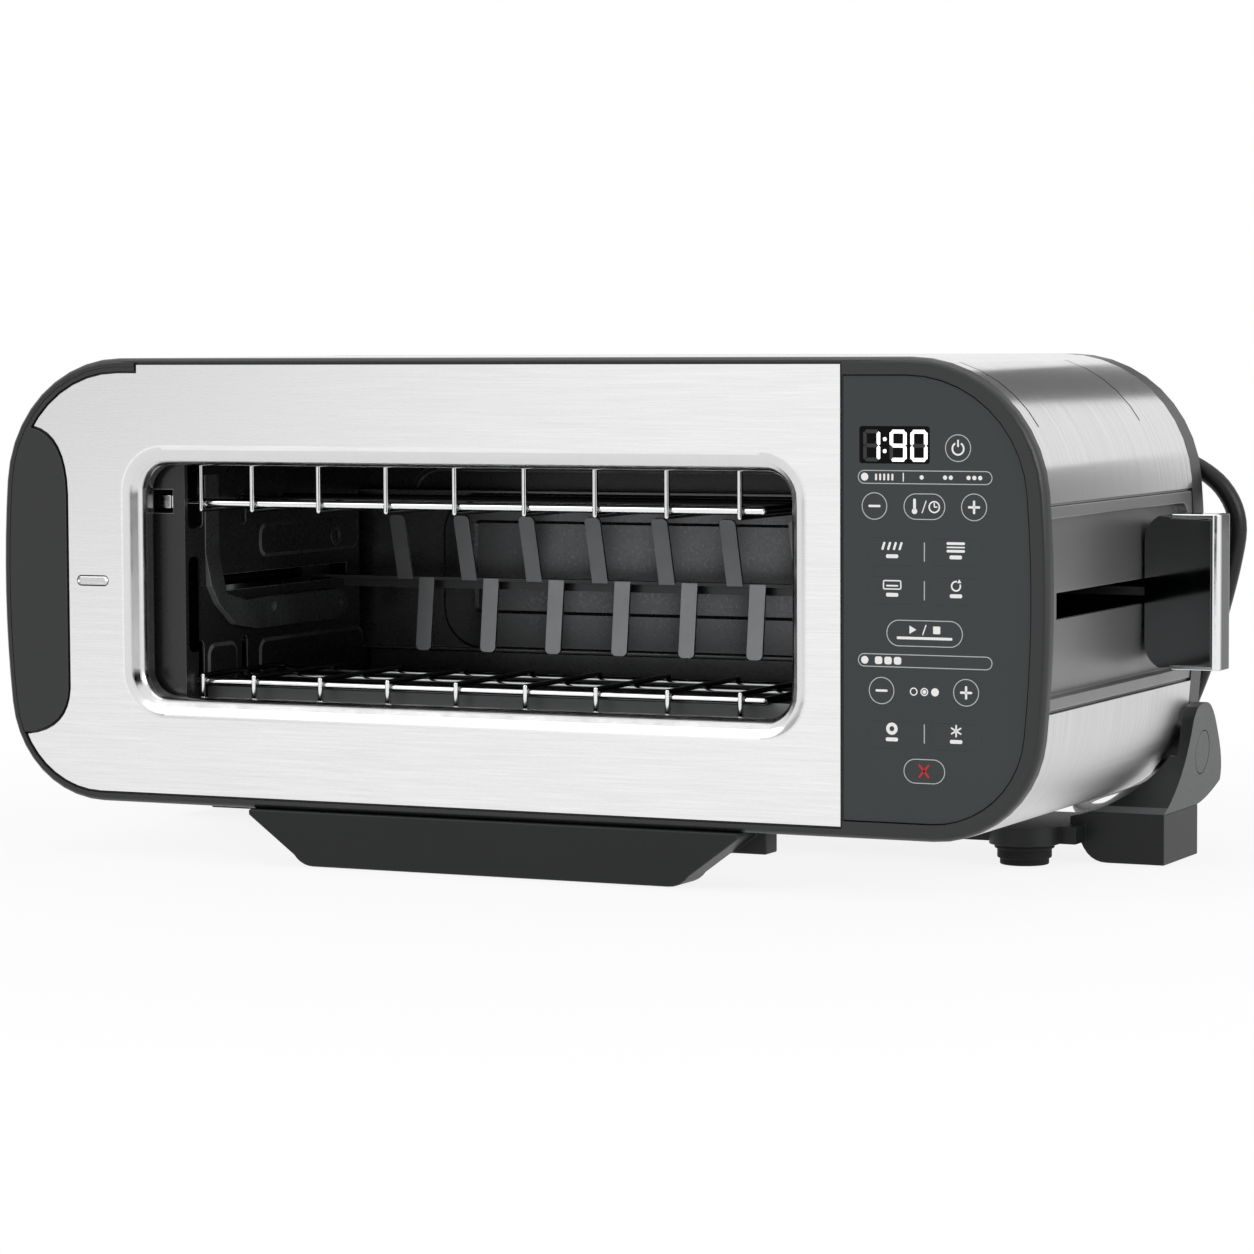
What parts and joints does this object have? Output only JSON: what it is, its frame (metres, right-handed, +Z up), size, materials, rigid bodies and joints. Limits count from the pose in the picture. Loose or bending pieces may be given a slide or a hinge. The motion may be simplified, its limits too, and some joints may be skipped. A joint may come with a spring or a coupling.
{
  "type": "flip toaster",
  "caption": "Wide brushed-steel flip toaster: a small open grill oven that turns back on its rear hinge stand to work as an upright long-slot toaster.",
  "frame": {"origin": "on the counter under the middle of the toaster's box, cord left out", "axes": "X along the width to the user's right (lever end), Y to the rear, Z up; the part lies flat in its oven position"},
  "size_m": [0.446, 0.415, 0.186],
  "materials": {
    "dark_plastic": "satin charcoal moulded plastic",
    "grey_plastic": "satin grey moulded plastic",
    "panel_plastic": "matt slate panel",
    "display_gloss": "gloss black display lens",
    "brushed_steel": "fine lengthwise brushed stainless",
    "bright_steel": "plain zinc or polished steel",
    "wire_chrome": "chrome plated",
    "gloss_black": "gloss black moulding",
    "cavity_black": "black coated sheet",
    "reflector": "plain plated sheet",
    "mica": "mica board",
    "ribbon": "resistance ribbon, oxide grey",
    "board_green": "circuit board lacquer",
    "rubber": "black rubber",
    "cord_rubber": "black cord jacket"
  },
  "bodies": {
    "stand": {"stand_base": "dark_plastic", "hinge_arm_right": "grey_plastic", "hinge_arm_left": "grey_plastic", "pivot_caps": "grey_plastic", "hinge_pins": "bright_steel", "stand_feet": "rubber", "leg_pads": "rubber", "power_cord": "cord_rubber", "cord_coil": "cord_rubber", "cord_tie": "cord_rubber", "plug": "cord_rubber"},
    "oven": {"cord_relief": "cord_rubber", "front_bezel": "dark_plastic", "front_fascia": "brushed_steel", "left_grip": "dark_plastic", "control_panel": "panel_plastic", "display_lens": "display_gloss", "upper_wrap": "brushed_steel", "lower_wrap": "brushed_steel", "right_side_panel": "grey_plastic", "left_side_panel": "grey_plastic", "rear_cover": "dark_plastic", "cover_screws": "bright_steel", "rear_feet": "rubber", "front_foot": "dark_plastic", "hinge_hubs": "dark_plastic", "cavity_left_wall": "cavity_black", "cavity_right_wall": "cavity_black", "cavity_back": "cavity_black", "upper_reflector": "reflector", "lower_reflector": "reflector", "upper_heater_board": "mica", "upper_heater_ribbon": "ribbon", "lower_heater_board": "mica", "lower_heater_ribbon": "ribbon", "guide_rods": "cavity_black", "latch_magnet": "ribbon", "control_board": "board_green", "power_board": "board_green"},
    "carriage": {"bread_carriage": "cavity_black", "lever_block": "gloss_black", "lever_band": "wire_chrome"},
    "upper_guard": {"upper_rack": "wire_chrome"},
    "lower_guard": {"lower_rack": "wire_chrome"},
    "tray": {"crumb_tray": "reflector"},
    "key_power": {"key_power": "panel_plastic"},
    "key_heat_less": {"key_heat_less": "panel_plastic"},
    "key_heat_more": {"key_heat_more": "panel_plastic"},
    "key_heat_time": {"key_heat_time": "panel_plastic"},
    "key_grill": {"key_grill": "panel_plastic"},
    "key_press": {"key_press": "panel_plastic"},
    "key_bake": {"key_bake": "panel_plastic"},
    "key_warm": {"key_warm": "panel_plastic"},
    "key_start": {"key_start": "panel_plastic"},
    "key_shade_less": {"key_shade_less": "panel_plastic"},
    "key_shade_more": {"key_shade_more": "panel_plastic"},
    "key_bun": {"key_bun": "panel_plastic"},
    "key_frozen": {"key_frozen": "panel_plastic"},
    "key_cancel": {"key_cancel": "panel_plastic"}
  },
  "joints": [
    {"name": "flip", "type": "hinge", "parent": "stand", "child": "oven", "pos_m": [-0.01001, 0.064, 0.038], "axis": [-1, 0, 0], "range_deg": [0, 90], "deforming": ["power_cord"]},
    {"name": "carriage_slide", "type": "slide", "parent": "oven", "child": "carriage", "axis": [0, -1, 0], "range_m": [0, 0.085]},
    {"name": "upper_guard_slide", "type": "slide", "parent": "oven", "child": "upper_guard", "axis": [0, 0, -1], "range_m": [0, 0.007]},
    {"name": "lower_guard_slide", "type": "slide", "parent": "oven", "child": "lower_guard", "axis": [0, 0, 1], "range_m": [0, 0.013]},
    {"name": "tray_slide", "type": "slide", "parent": "oven", "child": "tray", "axis": [-1, 0, 0], "range_m": [0, 0.3]},
    {"name": "press_power", "type": "slide", "parent": "oven", "child": "key_power", "axis": [0, 1, 0], "range_m": [0, 0.0005], "stiffness_N_per_m": 400, "springref_m": -0.0005},
    {"name": "press_heat_less", "type": "slide", "parent": "oven", "child": "key_heat_less", "axis": [0, 1, 0], "range_m": [0, 0.0005], "stiffness_N_per_m": 400, "springref_m": -0.0005},
    {"name": "press_heat_more", "type": "slide", "parent": "oven", "child": "key_heat_more", "axis": [0, 1, 0], "range_m": [0, 0.0005], "stiffness_N_per_m": 400, "springref_m": -0.0005},
    {"name": "press_heat_time", "type": "slide", "parent": "oven", "child": "key_heat_time", "axis": [0, 1, 0], "range_m": [0, 0.0005], "stiffness_N_per_m": 400, "springref_m": -0.0005},
    {"name": "press_grill", "type": "slide", "parent": "oven", "child": "key_grill", "axis": [0, 1, 0], "range_m": [0, 0.0005], "stiffness_N_per_m": 400, "springref_m": -0.0005},
    {"name": "press_press", "type": "slide", "parent": "oven", "child": "key_press", "axis": [0, 1, 0], "range_m": [0, 0.0005], "stiffness_N_per_m": 400, "springref_m": -0.0005},
    {"name": "press_bake", "type": "slide", "parent": "oven", "child": "key_bake", "axis": [0, 1, 0], "range_m": [0, 0.0005], "stiffness_N_per_m": 400, "springref_m": -0.0005},
    {"name": "press_warm", "type": "slide", "parent": "oven", "child": "key_warm", "axis": [0, 1, 0], "range_m": [0, 0.0005], "stiffness_N_per_m": 400, "springref_m": -0.0005},
    {"name": "press_start", "type": "slide", "parent": "oven", "child": "key_start", "axis": [0, 1, 0], "range_m": [0, 0.0005], "stiffness_N_per_m": 400, "springref_m": -0.0005},
    {"name": "press_shade_less", "type": "slide", "parent": "oven", "child": "key_shade_less", "axis": [0, 1, 0], "range_m": [0, 0.0005], "stiffness_N_per_m": 400, "springref_m": -0.0005},
    {"name": "press_shade_more", "type": "slide", "parent": "oven", "child": "key_shade_more", "axis": [0, 1, 0], "range_m": [0, 0.0005], "stiffness_N_per_m": 400, "springref_m": -0.0005},
    {"name": "press_bun", "type": "slide", "parent": "oven", "child": "key_bun", "axis": [0, 1, 0], "range_m": [0, 0.0005], "stiffness_N_per_m": 400, "springref_m": -0.0005},
    {"name": "press_frozen", "type": "slide", "parent": "oven", "child": "key_frozen", "axis": [0, 1, 0], "range_m": [0, 0.0005], "stiffness_N_per_m": 400, "springref_m": -0.0005},
    {"name": "press_cancel", "type": "slide", "parent": "oven", "child": "key_cancel", "axis": [0, 1, 0], "range_m": [0, 0.0005], "stiffness_N_per_m": 400, "springref_m": -0.0005}
  ],
  "couplings": [
    {"joint": "lower_guard_slide", "follows": "upper_guard_slide", "ratio": 1.8571}
  ]
}
